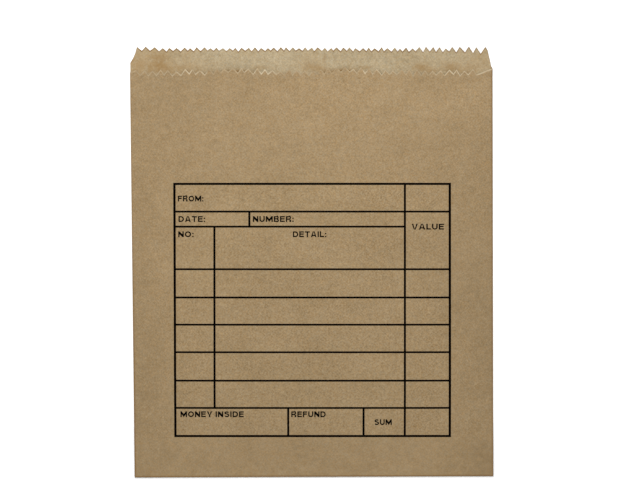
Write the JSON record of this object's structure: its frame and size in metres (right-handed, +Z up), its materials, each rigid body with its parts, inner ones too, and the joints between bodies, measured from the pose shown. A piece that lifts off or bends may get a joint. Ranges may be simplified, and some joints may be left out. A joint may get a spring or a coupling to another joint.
{
  "type": "paper order and money bag",
  "caption": "Flat kraft paper bag with a printed order form, a pasted back seam, a turned-up pasted bottom and a serrated mouth whose back reaches higher as a lip.",
  "frame": {"origin": "on the table under the middle of the bag's outline, the bag lying on its back with its printed front up", "axes": "+X to the right of the printed front, +Y from the bottom fold to the mouth, +Z up out of the front"},
  "size_m": [0.201, 0.238, 0.006],
  "materials": {
    "kraft_paper": "matte, fibrous brown kraft",
    "kraft_inside": "matte, slightly paler inside face",
    "dried_paste": "dry, slightly glossy starch paste",
    "black_ink": "matte printed black ink"
  },
  "bodies": {
    "lower_bag": {"front_panel": "kraft_paper", "back_panel_left": "kraft_paper", "back_panel_right": "kraft_paper", "back_seam_paste": "dried_paste", "left_side_fold": "kraft_paper", "right_side_fold": "kraft_paper", "bottom_fold": "kraft_paper", "bottom_fold_inner": "kraft_paper", "bottom_flap_outer": "kraft_paper", "bottom_flap_inner": "kraft_paper", "bottom_paste": "dried_paste", "printed_form": "black_ink"},
    "top_band": {"front_band": "kraft_paper", "back_band_left": "kraft_paper", "back_band_right": "kraft_paper", "band_seam_paste": "dried_paste", "left_side_fold_band": "kraft_paper", "right_side_fold_band": "kraft_paper"},
    "mouth_flap": {"mouth_flap": "kraft_paper"},
    "lip": {"lip_left": "kraft_inside", "lip_right": "kraft_inside", "lip_seam_paste": "dried_paste"}
  },
  "joints": [
    {"name": "top_fold", "type": "hinge", "parent": "lower_bag", "child": "top_band", "pos_m": [0, 0.053, 0.00604], "axis": [1, 0, 0], "range_deg": [0, 155]},
    {"name": "mouth_open", "type": "hinge", "parent": "top_band", "child": "mouth_flap", "pos_m": [0, 0.0615, 0.00604], "axis": [1, 0, 0], "range_deg": [0, 22]},
    {"name": "lip_fold", "type": "hinge", "parent": "top_band", "child": "lip", "pos_m": [0, 0.10615, 0.002], "axis": [1, 0, 0], "range_deg": [0, 175]}
  ]
}
